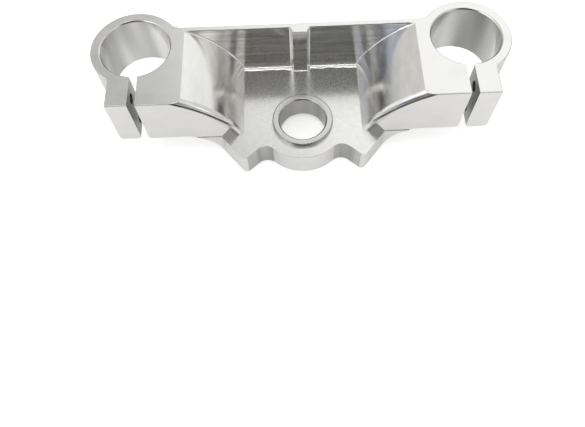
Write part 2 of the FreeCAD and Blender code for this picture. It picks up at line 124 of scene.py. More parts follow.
def welded_copy(name):
    """An object with the node's shape, smooth but for its true corners."""
    mesh = frame["nodes"][NODE].data.copy()
    mesh.name = name
    mesh.materials.clear()
    broken_skin(mesh)
    if mesh.has_custom_normals:
        mesh.attributes.remove(mesh.attributes["custom_normal"])
    mesh.set_sharp_from_angle(angle=SHARP_ANGLE)
    piece = bpy.data.objects.new(name, mesh)
    bpy.context.scene.collection.objects.link(piece)
    return piece


clamp = welded_copy("polished_clamp")
print("welded skin:", len(clamp.data.vertices), "corners,", len(clamp.data.polygons), "faces")

# %% [markdown]
# ## Even flats
#
# A corner's shading direction is the mean of the faces round it. Next to a bevel that mean
# leans over, and a big flat face would look swollen. Weighted normals count each face by its
# area, so the flats stay flat and the bevels alone turn.

# %% Weight the shading by area
BY_AREA = 100
weighted = clamp.modifiers.new("even_flats", "WEIGHTED_NORMAL")
weighted.keep_sharp = True
weighted.weight = BY_AREA

# %% [markdown]
# ## Where the pocket lies
#
# Some finishes change close to a corner, so they need to know where the pocket's floor and wall
# are. Both are the largest flat face that looks their way, so they can be measured on the mesh.

# %% Measure the pocket
FLAT = 0.999
HALF_HEIGHT = TOP / 2
level = [face for face in clamp.data.polygons if face.normal.z > FLAT and face.center.z < HALF_HEIGHT]
FLOOR = max(level, key=lambda face: face.area).center.z
facing = [face for face in clamp.data.polygons if face.normal.y < -FLAT and face.center.y > FORK_Y]
WALL = max(facing, key=lambda face: face.area).center.y
print("pocket floor at z", round(FLOOR, 4), "wall at y", round(WALL, 4))

# %% [markdown]
# ## Building materials from nodes
#
# Each finish is a Principled shader with a colour, a roughness and mostly a bump. What tells
# them apart is the pattern behind these, so a few small helpers make nodes and join them up.
# Image textures would need the mesh unwrapped. These patterns read Object coordinates instead,
# which are metres on the part itself, so a groove has its true width wherever it runs.

# %% A node, and an empty metal material
def add(tree, kind, **settings):
    """A new node. Settings that name an input socket fill it in, and the others are properties."""
    made = tree.nodes.new(kind)
    for name, value in settings.items():
        socket = made.inputs.get(name.replace("_", " "))
        if socket is not None:
            socket.default_value = value
        else:
            setattr(made, name, value)
    return made


def new_material(name, metallic=1.0):
    """An empty metal material: its tree, its Principled shader and its Object coordinates."""
    material = bpy.data.materials.new(name)
    material.use_nodes = True
    tree = material.node_tree
    tree.nodes.clear()
    output = add(tree, "ShaderNodeOutputMaterial")
    shader = add(tree, "ShaderNodeBsdfPrincipled", Metallic=metallic)
    tree.links.new(shader.outputs["BSDF"], output.inputs["Surface"])
    place = add(tree, "ShaderNodeTexCoord").outputs["Object"]
    return material, tree, shader, place


# %% [markdown]
# ## Patterns
#
# All patterns are noise. Its scale counts grains to the metre, so 1000 gives grains a millimetre
# wide, and a stretch below 1 draws them out along that axis. Noise seldom strays from the middle
# of its range, so the values it drives are spread over that middle.

# %% Noise, and values that follow it
EVEN = (1.0, 1.0, 1.0)
NOISE_LOW, NOISE_HIGH = 0.3, 0.7


def noise(tree, place, stretch, per_metre, detail):
    """Noise whose grains are longer along the axes where stretch is small."""
    mapping = add(tree, "ShaderNodeMapping", Scale=stretch)
    pattern = add(tree, "ShaderNodeTexNoise", Scale=per_metre, Detail=detail)
    tree.links.new(place, mapping.inputs["Vector"])
    tree.links.new(mapping.outputs["Vector"], pattern.inputs["Vector"])
    return pattern.outputs["Fac"]


def between(tree, pattern, at_low, at_high):
    """The pattern's middle range spread over two values."""
    spread = add(tree, "ShaderNodeMapRange", From_Min=NOISE_LOW, From_Max=NOISE_HIGH,
                 To_Min=at_low, To_Max=at_high)
    tree.links.new(pattern, spread.inputs["Value"])
    return spread.outputs["Result"]


# %% What a pattern can drive
def tinted(tree, shader, pattern, darker, lighter):
    """The shader's colour, wandering between two tones with the pattern."""
    ramp = add(tree, "ShaderNodeMix", data_type="RGBA")
    ramp.inputs["A"].default_value = (*darker, 1.0)
    ramp.inputs["B"].default_value = (*lighter, 1.0)
    tree.links.new(between(tree, pattern, 0.0, 1.0), ramp.inputs["Factor"])
    tree.links.new(ramp.outputs["Result"], shader.inputs["Base Color"])


def roughened(tree, shader, pattern, at_low, at_high):
    """The shader's roughness, spread over two values with the pattern."""
    tree.links.new(between(tree, pattern, at_low, at_high), shader.inputs["Roughness"])


def bumps(tree, shader, layers):
    """A chain of bump nodes, each a pattern and its height in metres."""
    normal = None
    for pattern, height in layers:
        bump = add(tree, "ShaderNodeBump", Strength=1.0, Distance=height)
        tree.links.new(pattern, bump.inputs["Height"])
        if normal is not None:
            tree.links.new(normal, bump.inputs["Normal"])
        normal = bump.outputs["Normal"]
    tree.links.new(normal, shader.inputs["Normal"])


# %% [markdown]
# ## The mirror finish
#
# The shoulders were buffed after forging. A buffed surface is never a perfect mirror: it rolls
# gently over a centimetre or so, carries fine lines along the buffing wheel's path, and is a
# little duller in patches. Long soft noise gives the roll, and stretched noise the lines.

# %% Buffed shoulders
def buffed_finish():
    """A mirror that rolls gently, with fine lines along Y."""
    material, tree, shader, place = new_material("buffed_aluminium")
    roll = noise(tree, place, stretch=(1.0, 0.5, 1.0), per_metre=75.0, detail=1.0)
    haze = noise(tree, place, stretch=(1.0, 0.35, 1.0), per_metre=240.0, detail=4.0)
    lines = noise(tree, place, stretch=(1.0, 0.03, 1.0), per_metre=2600.0, detail=2.0)
    tinted(tree, shader, haze, darker=(0.76, 0.757, 0.742), lighter=(0.85, 0.847, 0.83))
    roughened(tree, shader, haze, at_low=0.13, at_high=0.24)
    bumps(tree, shader, [(roll, 0.07 * MM), (lines, 0.0022 * MM)])
    return material


# %% [markdown]
# ## A strip of forged skin
#
# A wheel can't reach into the pocket's corners, so wall and floor keep a strip of grainy forged
# skin next to the corner between them. Its grain is multiplied by a mask that reads the distance
# from the corner, and noise added to that distance makes the strip's edge wander.

# %% A mask that fades away from a corner
STRIP_START, STRIP_END = 1.1 * MM, 3.1 * MM
STRIP_WANDER = 0.7 * MM


def fading(tree, value, start, end, curve="SMOOTHSTEP"):
    """A soft step or a straight slope: 0 where the value is start, and 1 where it is end."""
    step = add(tree, "ShaderNodeMapRange", interpolation_type=curve, From_Min=start, From_Max=end)
    tree.links.new(value, step.inputs["Value"])
    return step.outputs["Result"]


def combined(tree, operation, first, second):
    """Two patterns joined by a Math node."""
    both = add(tree, "ShaderNodeMath", operation=operation)
    for value, socket in zip((first, second), both.inputs):
        if isinstance(value, float):
            socket.default_value = value
        else:
            tree.links.new(value, socket)
    return both.outputs["Value"]


def forged_strip(tree, place, axis, corner, inwards):
    """The strip's mask, and forged grain that is full at the corner and gone past the strip."""
    parts = add(tree, "ShaderNodeSeparateXYZ")
    tree.links.new(place, parts.inputs["Vector"])
    wander = noise(tree, place, stretch=EVEN, per_metre=130.0, detail=3.0)
    shift = between(tree, wander, -STRIP_WANDER, STRIP_WANDER)
    depth = combined(tree, "ADD", parts.outputs[axis], shift)
    mask = fading(tree, depth, corner + inwards * STRIP_END, corner + inwards * STRIP_START, "LINEAR")
    grain = noise(tree, place, stretch=EVEN, per_metre=1300.0, detail=4.0)
    return mask, combined(tree, "MULTIPLY", mask, grain)


# %% [markdown]
# ## The wall and the floor of the pocket
#
# The wall was polished with level strokes and stays a fair mirror with darker and lighter
# streaks. The floor was polished with short strokes in every direction. Its fine grain spreads
# part of the light like a matt surface, so its shader is a little less than fully metallic. In
# the strip both are rougher, and on the floor the strip also looks raised.

# %% Stroked wall and satin floor
def strip_roughened(tree, shader, polish, mask, extra):
    """The polish's roughness with some more of it where the mask is full."""
    more = combined(tree, "MULTIPLY", mask, extra)
    tree.links.new(combined(tree, "ADD", polish, more), shader.inputs["Roughness"])


def wall_finish():
    """A fair mirror with level strokes and streaks, rough in the strip above the floor."""
    material, tree, shader, place = new_material("stroked_wall")
    mask, forged = forged_strip(tree, place, "Z", FLOOR, 1)
    roll = noise(tree, place, stretch=(1.0, 1.0, 0.6), per_metre=60.0, detail=1.0)
    strokes = noise(tree, place, stretch=(0.03, 1.0, 1.0), per_metre=1500.0, detail=4.0)
    streaks = noise(tree, place, stretch=(0.05, 1.0, 1.0), per_metre=420.0, detail=2.0)
    haze = noise(tree, place, stretch=(0.5, 1.0, 1.0), per_metre=200.0, detail=4.0)
    tinted(tree, shader, streaks, darker=(0.46, 0.455, 0.447), lighter=(0.73, 0.725, 0.713))
    strip_roughened(tree, shader, between(tree, haze, 0.09, 0.19), mask, extra=0.12)
    bumps(tree, shader, [(roll, 0.05 * MM), (strokes, 0.022 * MM), (streaks, 0.015 * MM),
                         (forged, 0.06 * MM)])
    return material


def floor_finish():
    """A satin with a fine even grain, rough in the strip before the wall."""
    material, tree, shader, place = new_material("satin_floor", metallic=0.84)
    mask, forged = forged_strip(tree, place, "Y", WALL, -1)
    roll = noise(tree, place, stretch=EVEN, per_metre=90.0, detail=2.0)
    haze = noise(tree, place, stretch=EVEN, per_metre=300.0, detail=4.0)
    grain = noise(tree, place, stretch=EVEN, per_metre=5000.0, detail=2.0)
    tinted(tree, shader, haze, darker=(0.87, 0.867, 0.852), lighter=(0.94, 0.937, 0.92))
    strip_roughened(tree, shader, between(tree, grain, 0.09, 0.44), mask, extra=0.3)
    bumps(tree, shader, [(roll, 0.03 * MM), (grain, 0.002 * MM), (mask, 0.52 * MM), (forged, 0.09 * MM)])
    return material


# %% [markdown]
# ## The corner that no tool reached
#
# Along the foot of the wall and of the rib, and round the corners to the shoulders, the small
# hollow kept its forged skin. It is grainy and catches the light in sparks.

# %% Forged skin in the corners
def corner_finish():
    """Bright pitted skin."""
    material, tree, shader, place = new_material("forged_corner")
    pits = noise(tree, place, stretch=EVEN, per_metre=1300.0, detail=4.0)
    tinted(tree, shader, pits, darker=(0.70, 0.69, 0.68), lighter=(0.97, 0.965, 0.95))
    roughened(tree, shader, pits, at_low=0.16, at_high=0.32)
    bumps(tree, shader, [(pits, 0.06 * MM)])
    return material


# %% [markdown]
# ## The milled tops
#
# The flat tops were cut last, with a face mill, and left as they came. The cutter leaves fine
# parallel lines, so light spreads across them into a satin sheen.

# %% Satin milled aluminium
def milled_finish():
    """A satin with fine lines along X."""
    material, tree, shader, place = new_material("milled_aluminium")
    lines = noise(tree, place, stretch=(0.04, 1.0, 1.0), per_metre=3200.0, detail=2.0)
    patches = noise(tree, place, stretch=(0.6, 1.0, 1.0), per_metre=90.0, detail=3.0)
    tinted(tree, shader, patches, darker=(0.80, 0.797, 0.78), lighter=(0.86, 0.857, 0.84))
    roughened(tree, shader, patches, at_low=0.20, at_high=0.29)
    bumps(tree, shader, [(lines, 0.0022 * MM)])
    return material


# %% [markdown]
# ## The polished front
#
# The upright front faces and the edge of the web below them mirror the white floor, so they look
# plain until something dark comes near: close to the stops they show the corner between front
# and stop twice. A middling gloss with faint level lines gives both.

# %% Polished front faces
def front_finish():
    """A middling gloss with faint lines along X."""
    material, tree, shader, place = new_material("polished_front")
    lines = noise(tree, place, stretch=(0.04, 1.0, 1.0), per_metre=2400.0, detail=2.0)
    patches = noise(tree, place, stretch=(0.6, 1.0, 1.0), per_metre=120.0, detail=3.0)
    tinted(tree, shader, patches, darker=(0.82, 0.815, 0.80), lighter=(0.87, 0.865, 0.85))
    roughened(tree, shader, patches, at_low=0.10, at_high=0.18)
    bumps(tree, shader, [(patches, 0.03 * MM), (lines, 0.0015 * MM)])
    return material


# %% [markdown]
# ## The filed edges
#
# The front edges of the flat tops look broken by hand with a file. As a mirror such a narrow band
# would show whatever dark thing stands before it, but on the real clamp it shows a bright line. So
# its shader is only partly metallic, which lets it scatter the light as fine scratches do, and its
# near-white colour is a painted highlight that keeps the line pale.

# %% Pale filed edges
def filed_highlight_finish():
    """A pale satin that is only partly metallic, its near-white colour a painted highlight."""
    material, tree, shader, place = new_material("filed_edges_painted_highlight", metallic=0.3)
    nicks = noise(tree, place, stretch=EVEN, per_metre=600.0, detail=3.0)
    tinted(tree, shader, nicks, darker=(0.90, 0.897, 0.885), lighter=(0.98, 0.977, 0.965))
    roughened(tree, shader, nicks, at_low=0.30, at_high=0.50)
    return material


# %% [markdown]
# ## The sawn slots
#
# The pinch slots were sawn and never polished. Their walls are dull and carry the upright marks
# of the blade. Their colour is also painted dark, a painted shade for the narrow slots, so they
# stand dark next to the bright faces round them.

# %% Sawn slot walls
def sawn_shaded_finish():
    """Dull metal with upright marks, painted dark for the shade in the slots."""
    material, tree, shader, place = new_material("sawn_aluminium_painted_shade")
    marks = noise(tree, place, stretch=(1.0, 1.0, 0.06), per_metre=1400.0, detail=3.0)
    tinted(tree, shader, marks, darker=(0.50, 0.50, 0.48), lighter=(0.68, 0.68, 0.66))
    roughened(tree, shader, marks, at_low=0.30, at_high=0.45)
    bumps(tree, shader, [(marks, 0.03 * MM)])
    return material


# %% [markdown]
# ## The faced seat
#
# The ring round the stem bore was faced on a lathe. Its grooves run round the stem's axis, so the
# pattern is noise over the distance from that axis: it spreads light across the ring, and the
# seat looks a shade greyer than the floor beside it.

# %% Faced stem seat
def ring_noise(tree, place, per_metre, detail):
    """Noise that changes only with the distance from the stem's axis."""
    level_part = add(tree, "ShaderNodeVectorMath", operation="MULTIPLY")
    level_part.inputs[1].default_value = (1.0, 1.0, 0.0)
    tree.links.new(place, level_part.inputs[0])
    distance = add(tree, "ShaderNodeVectorMath", operation="LENGTH")
    tree.links.new(level_part.outputs["Vector"], distance.inputs[0])
    rings = add(tree, "ShaderNodeTexNoise", noise_dimensions="1D", Scale=per_metre, Detail=detail)
    tree.links.new(distance.outputs["Value"], rings.inputs["W"])
    return rings.outputs["Fac"]


def seat_finish():
    """Greyer metal with grooves round the stem's axis."""
    material, tree, shader, place = new_material("faced_seat")
    grooves = ring_noise(tree, place, per_metre=3500.0, detail=2.0)
    tinted(tree, shader, grooves, darker=(0.66, 0.658, 0.644), lighter=(0.80, 0.797, 0.78))
    roughened(tree, shader, grooves, at_low=0.22, at_high=0.38)
    bumps(tree, shader, [(grooves, 0.006 * MM)])
    return material


# %% [markdown]
# ## The turned bores
#
# The fork bores and the stem bore were bored out by a tool that runs round their walls. The
# grooves lie level, one above the other, so the pattern is stretched along X and Y and stays
# fine along Z. That pulls reflections into the soft upright bands that a bored hole shows. Dark
# and bright upright bands are also painted into the colour, as wide noise that is long along Z:
# a painted reflection of the room's dark and bright parts, and the dark bands are rougher. A
# Mapping node slides them to where they lie. The stem bore is the same, only painted darker, a
# painted shade for its depth.

# %% Turned aluminium
# Where the painted reflection bands lie: the noise is slid by this much, in metres.
PAINTED_BAND_START = (0.262, 0.131, 0.0)


def turned_metal(name, darker, lighter):
    """Bored metal: level grooves, and upright bands of two tones, a painted reflection."""
    material, tree, shader, place = new_material(name)
    grooves = noise(tree, place, stretch=(0.02, 0.02, 1.0), per_metre=4200.0, detail=2.0)
    shifted = add(tree, "ShaderNodeMapping", Location=PAINTED_BAND_START)
    tree.links.new(place, shifted.inputs["Vector"])
    bands = noise(tree, shifted.outputs["Vector"], stretch=(1.0, 1.0, 0.12), per_metre=62.0, detail=1.0)
    tinted(tree, shader, bands, darker, lighter)
    roughened(tree, shader, bands, at_low=0.30, at_high=0.16)
    bumps(tree, shader, [(grooves, 0.02 * MM)])
    return material


def turned_finish():
    """The fork bores, with painted reflection bands from dark to nearly white."""
    return turned_metal("turned_fork_bores", darker=(0.46, 0.46, 0.445), lighter=(0.96, 0.957, 0.94))


def stem_finish():
    """The stem bore, painted darker and more even, a painted shade for its depth."""
    return turned_metal("turned_stem_bore", darker=(0.42, 0.42, 0.40), lighter=(0.66, 0.658, 0.64))


# %% [markdown]
# ## The scallops and the side of the boss
#
# The two scallops between the lobe and the stops were milled with an upright cutter. Its marks run
# from top to bottom, and the cut was never polished. Their colour is painted darker than the front
# beside them, a painted shade for the hollows.
# The side of the boss is narrow and was left as turned. It mirrors the dark end of the pocket, and
# its colour is painted dark as well, a painted shade that draws the dark crescent under the ring.

# %% Milled scallops and the boss's side
def scallop_shaded_finish():
    """Metal painted dark for the shade in the hollows, with upright cutter marks."""
    material, tree, shader, place = new_material("milled_scallops_painted_shade")
    marks = noise(tree, place, stretch=(1.0, 1.0, 0.05), per_metre=160.0, detail=3.0)
    tinted(tree, shader, marks, darker=(0.42, 0.42, 0.405), lighter=(0.66, 0.66, 0.645))
    roughened(tree, shader, marks, at_low=0.20, at_high=0.32)
    bumps(tree, shader, [(marks, 0.02 * MM)])
    return material


def boss_side_shaded_finish():
    """A gloss painted dark for the shade under the ring, with soft clouds."""
    material, tree, shader, place = new_material("turned_boss_side_painted_shade")
    clouds = noise(tree, place, stretch=EVEN, per_metre=150.0, detail=3.0)
    tinted(tree, shader, clouds, darker=(0.30, 0.30, 0.29), lighter=(0.50, 0.50, 0.485))
    roughened(tree, shader, clouds, at_low=0.12, at_high=0.22)
    return material


# %% [markdown]
# ## The forged outside
#
# The rings' outer walls, the back and the hollows under the arms were only linished: less bright
# than the pocket, with a short upright grain.

# %% Linished aluminium
def linished_finish():
    """Less bright metal with a fine grain in soft patches."""
    material, tree, shader, place = new_material("linished_aluminium")
    grain = noise(tree, place, stretch=(1.0, 1.0, 0.3), per_metre=1500.0, detail=3.0)
    patches = noise(tree, place, stretch=EVEN, per_metre=80.0, detail=3.0)
    tinted(tree, shader, patches, darker=(0.66, 0.657, 0.64), lighter=(0.76, 0.757, 0.74))
    roughened(tree, shader, patches, at_low=0.14, at_high=0.24)
    bumps(tree, shader, [(patches, 0.04 * MM), (grain, 0.002 * MM)])
    return material


# %% [markdown]
# ## Giving each face its finish
#
# A face knows where it lies and which way it looks, and on a machined part that is enough to
# say which tool cut it. Painting a mask by hand would work too, but a rule stays right when
# the shape changes. The two sides of the pocket's rib, for one, are the faces near the middle
# that look sideways, and they are as bright as the shoulders.

# %% Lines between the tools' marks
NEAR = 0.05 * MM
SLOT_REACH = 5.0 * MM
CORNER_RADIUS = 1.2 * MM
CORNER_REACH = 9.0 * MM
RIB_REACH = 12.0 * MM
BORE_EDGE = 2.0 * MM
SCALLOP_START, SCALLOP_END, SCALLOP_BACK = 15.5 * MM, 32.8 * MM, -15.0 * MM
# A normal is one unit long. These are limits on the part of it that lies along one axis.
UPRIGHT, STEEP, SIDEWAYS, SCALLOP_TURN = 0.05, 0.5, 0.3, 0.55


def before_forks(middle):
    """True in front of the fork bores, where the lugs and the slots are."""
    return middle.y < FORK_Y - FORK_RADIUS


def in_slot(face):
    """True for the flat walls of the two pinch slots."""
    beside_slot = abs(abs(face.center.x) - FORK_X) < SLOT_REACH
    return beside_slot and before_forks(face.center) and abs(face.normal.x) > FLAT


def in_scallop(face):
    """True for the upright walls of the two hollows at the front of the web."""
    middle, normal = face.center, face.normal
    outwards = normal.x * math.copysign(1.0, middle.x)
    in_hollow = SCALLOP_START < abs(middle.x) < SCALLOP_END and outwards < SCALLOP_TURN
    return in_hollow and abs(normal.z) < STEEP and middle.y < SCALLOP_BACK and middle.z < FLOOR + NEAR


# %% The tool that made a face of the pocket
def in_pocket(middle):
    """True between the fork bores, from the pocket's floor up and in front of its wall."""
    between_forks = abs(middle.x) < FORK_X - FORK_RADIUS
    return between_forks and middle.z > FLOOR - NEAR and middle.y < WALL + NEAR


def pocket_tool(middle, normal):
    """The finish of a face in the pocket. One that looks down is left linished."""
    at_foot = middle.z < FLOOR + CORNER_RADIUS - NEAR and middle.y > WALL - CORNER_REACH
    if at_foot and normal.z < FLAT:
        return "corner"
    if normal.z > FLAT:
        return "floor"
    if abs(middle.x) < RIB_REACH and abs(normal.x) > SIDEWAYS:
        return "buffed"
    if abs(normal.z) < UPRIGHT:
        return "wall"
    if normal.z > 0:
        return "buffed"
    return "linished"


# %% The tool that made any face
def tool_of(face):
    """The finish of one face, from its middle and its normal."""
    middle, normal = face.center, face.normal
    from_fork = math.hypot(abs(middle.x) - FORK_X, middle.y - FORK_Y)
    from_stem = math.hypot(middle.x, middle.y)
    if from_fork < FORK_RADIUS + NEAR and abs(normal.z) < STEEP:
        return "turned"
    if from_stem < SEAT_RADIUS + NEAR and normal.z > FLAT:
        return "seat"
    if STEM_RADIUS + BORE_EDGE < from_stem < SEAT_RADIUS + NEAR and middle.z > FLOOR:
        return "boss"
    if from_stem < SEAT_RADIUS + NEAR:
        return "stem"
    if in_slot(face):
        return "sawn"
    if normal.z > FLAT and middle.z > TOP - NEAR:
        return "milled"
    if in_scallop(face):
        return "scallop"
    if middle.z > TOP - EDGE_WIDTH and before_forks(middle) and normal.y < -SIDEWAYS:
        return "filed"
    on_web_edge = middle.z < FLOOR and abs(normal.z) < STEEP and normal.y < 0
    if middle.y < 0 and (normal.y < -FLAT or on_web_edge):
        return "front"
    if in_pocket(middle):
        return pocket_tool(middle, normal)
    return "linished"


# %% Paint the clamp
FINISHES = {
    "buffed": buffed_finish,
    "wall": wall_finish,
    "floor": floor_finish,
    "corner": corner_finish,
    "milled": milled_finish,
    "front": front_finish,
    "sawn": sawn_shaded_finish,
    "seat": seat_finish,
    "turned": turned_finish,
    "stem": stem_finish,
    "scallop": scallop_shaded_finish,
    "boss": boss_side_shaded_finish,
    "linished": linished_finish,
    "filed": filed_highlight_finish,
}


def paint(piece):
    """Fill the piece's material slots, give each face its own and count them."""
    order = list(FINISHES)
    for name in order:
        piece.data.materials.append(FINISHES[name]())
    counts = dict.fromkeys(order, 0)
    for face in piece.data.polygons:
        name = tool_of(face)
        face.material_index = order.index(name)
        counts[name] += 1
    return counts


print("faces by finish:", paint(clamp))
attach(clamp, "root")
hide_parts(NODE)

# %% [markdown]
# ## Threads in the pinch holes
#
# Past each slot the two pinch holes are tapped for M6 screws. A thread is one ridge that climbs
# round the hole by one pitch a turn, the same in all four holes, so Geometry Nodes make it: a
# Spiral is the path, a three-sided circle is its section, and the result is put at four points.
# A right-handed thread stays right-handed when it is turned to the other side of the clamp, which
# a mirrored copy wouldn't. Screws and their threads could be modelled turn by turn in bmesh, but a
# tree with named inputs can be given another size later.

# %% Sizes of the thread
tapped = mounts["pinch_bolts_right"]
HOLE_Y, HOLES_MIDDLE_Z = tapped["pos_m"][1], tapped["pos_m"][2]
HOLE_SPACING = tapped["dims"]["spacing_y_mm"] * MM
TAPPED_RADIUS = 2.5 * MM
PITCH = 1.0 * MM
THREAD_LENGTH = 19.0 * MM
RIDGE_SIZE = 0.32 * MM
RIDGE_HEIGHT = 0.28 * MM
SLOT_WALL = min(abs(face.center.x) for face in clamp.data.polygons if in_slot(face))
THREAD_SIZES = {
    "Path Radius": TAPPED_RADIUS - RIDGE_HEIGHT + RIDGE_SIZE,
    "Ridge Size": RIDGE_SIZE,
    "Length": THREAD_LENGTH,
    "Turns": THREAD_LENGTH / PITCH,
    "Side": SLOT_WALL,
    "Depth": HOLE_Y,
    "First Hole": HOLES_MIDDLE_Z - HOLE_SPACING / 2,
    "Hole Spacing": HOLE_SPACING,
}
print("tapped holes start at x", round(SLOT_WALL, 4), "and z", round(THREAD_SIZES["First Hole"], 4))

# %% The ridge of one hole
STEPS_A_TURN = 24
RIDGE_SIDES = 3


def thread_ridge(tree, given):
    """A three-sided ridge that climbs along Z from the origin."""
    path = add(tree, "GeometryNodeCurveSpiral", Resolution=STEPS_A_TURN)
    tree.links.new(given["Turns"], path.inputs["Rotations"])
    tree.links.new(given["Path Radius"], path.inputs["Start Radius"])
    tree.links.new(given["Path Radius"], path.inputs["End Radius"])
    tree.links.new(given["Length"], path.inputs["Height"])
    upright = add(tree, "GeometryNodeSetCurveNormal", mode="Z_UP")
    tree.links.new(path.outputs["Curve"], upright.inputs["Curve"])
    section = add(tree, "GeometryNodeCurvePrimitiveCircle", Resolution=RIDGE_SIDES)
    tree.links.new(given["Ridge Size"], section.inputs["Radius"])
    ridge = add(tree, "GeometryNodeCurveToMesh", Fill_Caps=True)
    tree.links.new(upright.outputs["Curve"], ridge.inputs["Curve"])
    tree.links.new(section.outputs["Curve"], ridge.inputs["Profile Curve"])
    return ridge.outputs["Mesh"]


# %% The ridge at both holes of one side
HOLES_A_SIDE = 2


def at_holes(tree, given, ridge, side):
    """The ridge laid along X in the two holes on the left, side -1, or on the right, side 1."""
    start = add(tree, "ShaderNodeCombineXYZ")
    tree.links.new(combined(tree, "MULTIPLY", given["Side"], side), start.inputs["X"])
    tree.links.new(given["Depth"], start.inputs["Y"])
    tree.links.new(given["First Hole"], start.inputs["Z"])
    step = add(tree, "ShaderNodeCombineXYZ")
    tree.links.new(given["Hole Spacing"], step.inputs["Z"])
    holes = add(tree, "GeometryNodeMeshLine", mode="OFFSET", Count=HOLES_A_SIDE)
    tree.links.new(start.outputs["Vector"], holes.inputs["Start Location"])
    tree.links.new(step.outputs["Vector"], holes.inputs["Offset"])
    placed = add(tree, "GeometryNodeInstanceOnPoints", Rotation=(0.0, -side * math.pi / 2, 0.0))
    tree.links.new(holes.outputs["Mesh"], placed.inputs["Points"])
    tree.links.new(ridge, placed.inputs["Instance"])
    return placed.outputs["Instances"]


# %% The whole tree
def thread_tree():
    """A tree with an input for each size that fills all four holes."""
    tree = bpy.data.node_groups.new("tapped_thread", "GeometryNodeTree")
    for name in THREAD_SIZES:
        tree.interface.new_socket(name, in_out="INPUT", socket_type="NodeSocketFloat")
    tree.interface.new_socket("Finish", in_out="INPUT", socket_type="NodeSocketMaterial")
    tree.interface.new_socket("Geometry", in_out="OUTPUT", socket_type="NodeSocketGeometry")
    given = add(tree, "NodeGroupInput").outputs
    ridge = thread_ridge(tree, given)
    all_holes = add(tree, "GeometryNodeJoinGeometry")
    for side in (-1.0, 1.0):
        tree.links.new(at_holes(tree, given, ridge, side), all_holes.inputs["Geometry"])
    real = add(tree, "GeometryNodeRealizeInstances")
    finish = add(tree, "GeometryNodeSetMaterial")
    output = add(tree, "NodeGroupOutput")
    tree.links.new(all_holes.outputs["Geometry"], real.inputs["Geometry"])
    tree.links.new(real.outputs["Geometry"], finish.inputs["Geometry"])
    tree.links.new(given["Finish"], finish.inputs["Material"])
    tree.links.new(finish.outputs["Geometry"], output.inputs["Geometry"])
    return tree


# %% Grow the threads and make them a plain mesh
def grown(name, tree, values):
    """A plain mesh object from a Geometry Nodes tree and the values of its inputs."""
    seed = bpy.data.objects.new(name + "_seed", bpy.data.meshes.new(name + "_seed"))
    bpy.context.scene.collection.objects.link(seed)
    modifier = seed.modifiers.new("grow", "NODES")
    modifier.node_group = tree
    for socket in tree.interface.items_tree:
        if socket.in_out == "INPUT":
            modifier[socket.identifier] = values[socket.name]
    seen = seed.evaluated_get(bpy.context.evaluated_depsgraph_get())
    mesh = bpy.data.meshes.new_from_object(seen)
    mesh.name = name
    seed.modifiers.remove(modifier)
    bpy.data.objects.remove(seed)
    piece = bpy.data.objects.new(name, mesh)
    bpy.context.scene.collection.objects.link(piece)
    return piece


def from_hole_axis(place):
    """How far a place lies from the axis of the nearest hole."""
    return math.hypot(place.y - HOLE_Y, abs(place.z - HOLES_MIDDLE_Z) - HOLE_SPACING / 2)


# The threads take the slots' finish, with its painted shade.
threads = grown("tapped_threads", thread_tree(), {**THREAD_SIZES, "Finish": sawn_shaded_finish()})
crest = min(from_hole_axis(corner.co) for corner in threads.data.vertices)
print("threads:", len(threads.data.polygons), "faces, crest radius", round(crest / MM, 3), "mm")
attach(threads, "root")

# %% [markdown]
# ## Floor
#
# The clamp lies on a plain white floor that takes its soft shadow. A brighter lamp would make
# the floor white but also bleach the metal, so the floor glows a little instead, and only for
# the rays that come from the camera or from the metal. All rays but the camera's also see a
# dark card painted on the floor in front of the clamp, like the cards studios use for bright
# metal. It is a painted reflection: it draws the dark line under each rounded front edge, and
# it darkens the light that the floor throws back. The camera's own rays see no card, only
# white paint.

# %% The painted dark card's mask and the glow
# Where the painted dark card lies, in metres: its front edge and the half width of its sides, each with
# a soft blur.
CARD_FRONT, CARD_FRONT_BLUR = 0.056, 0.012
CARD_SIDE, CARD_SIDE_BLUR = 0.10, 0.030


def painted_dark_card(tree):
    """A mask that is full where the dark card lies in front of the part: a painted reflection, dark
    paint that only the metal and bounced light see.
    """
    place = add(tree, "ShaderNodeTexCoord").outputs["Object"]
    parts = add(tree, "ShaderNodeSeparateXYZ")
    tree.links.new(place, parts.inputs["Vector"])
    in_front = fading(tree, parts.outputs["Y"], -CARD_FRONT, -CARD_FRONT - CARD_FRONT_BLUR)
    from_left = fading(tree, parts.outputs["X"], -CARD_SIDE - CARD_SIDE_BLUR, -CARD_SIDE)
    from_right = fading(tree, parts.outputs["X"], CARD_SIDE + CARD_SIDE_BLUR, CARD_SIDE)
    return combined(tree, "MULTIPLY", in_front, combined(tree, "MULTIPLY", from_left, from_right))


def glowing(tree, coat, strength):
    """A coat of paint with a glow added to it."""
    glow = add(tree, "ShaderNodeEmission")
    tree.links.new(strength, glow.inputs["Strength"])
    both = add(tree, "ShaderNodeAddShader")
    tree.links.new(coat.outputs["BSDF"], both.inputs[0])
    tree.links.new(glow.outputs["Emission"], both.inputs[1])
    return both.outputs["Shader"]


# %% White paint that the camera and the metal see differently
FLOOR_TONE = (0.88, 0.88, 0.88, 1.0)
# The card's dark tone, a painted reflection that only the metal and bounced light see.
PAINTED_CARD_TONE = (0.10, 0.10, 0.10, 1.0)
GLOW_TO_CAMERA = 0.58
GLOW_TO_METAL = 0.20


